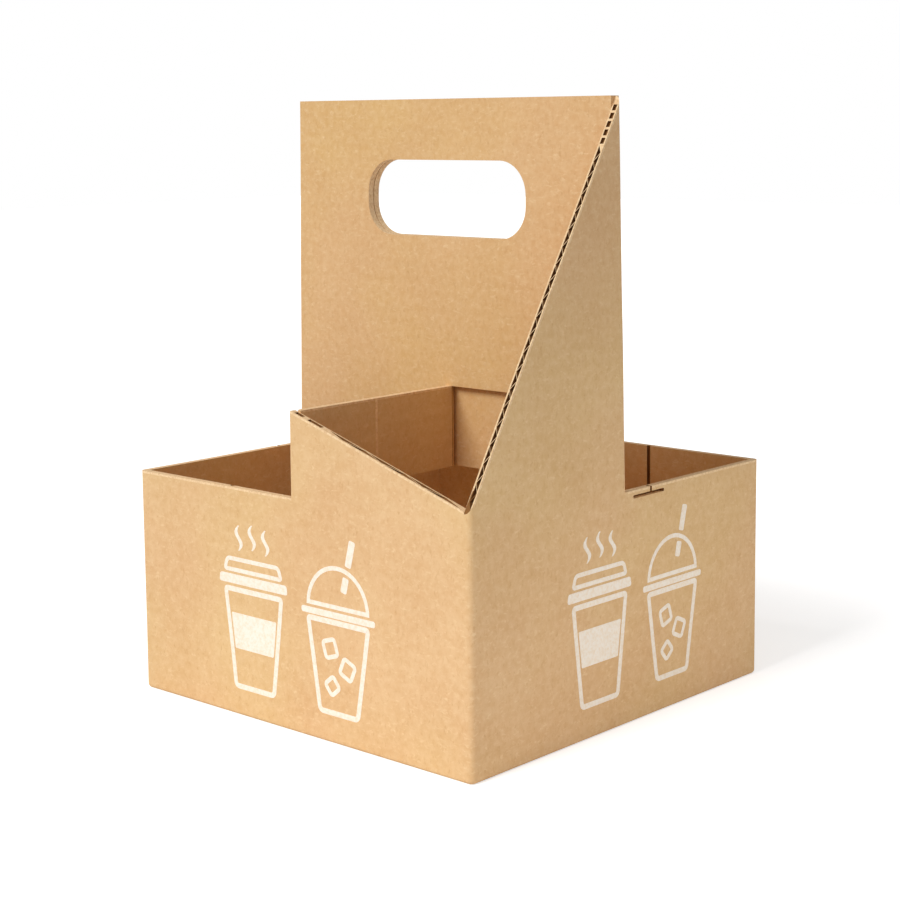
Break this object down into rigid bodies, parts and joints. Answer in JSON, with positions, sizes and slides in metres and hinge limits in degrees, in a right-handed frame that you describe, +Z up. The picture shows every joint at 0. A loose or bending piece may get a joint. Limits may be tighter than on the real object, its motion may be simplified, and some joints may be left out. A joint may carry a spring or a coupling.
{
  "type": "cardboard cup carrier",
  "caption": "Folded corrugated board carrier for takeaway cups: an open square box with strap dividers and a tall doubled handle panel with a hand hole.",
  "frame": {"origin": "middle of the base, on the surface it stands on", "axes": "+Z up; X along the handle panel; the front wall faces -Y and the right wall +X"},
  "size_m": [0.19, 0.19, 0.253],
  "materials": {
    "board": "uncoated kraft liner, matte"
  },
  "bodies": {
    "root": {"carrier": "board"}
  },
  "joints": []
}
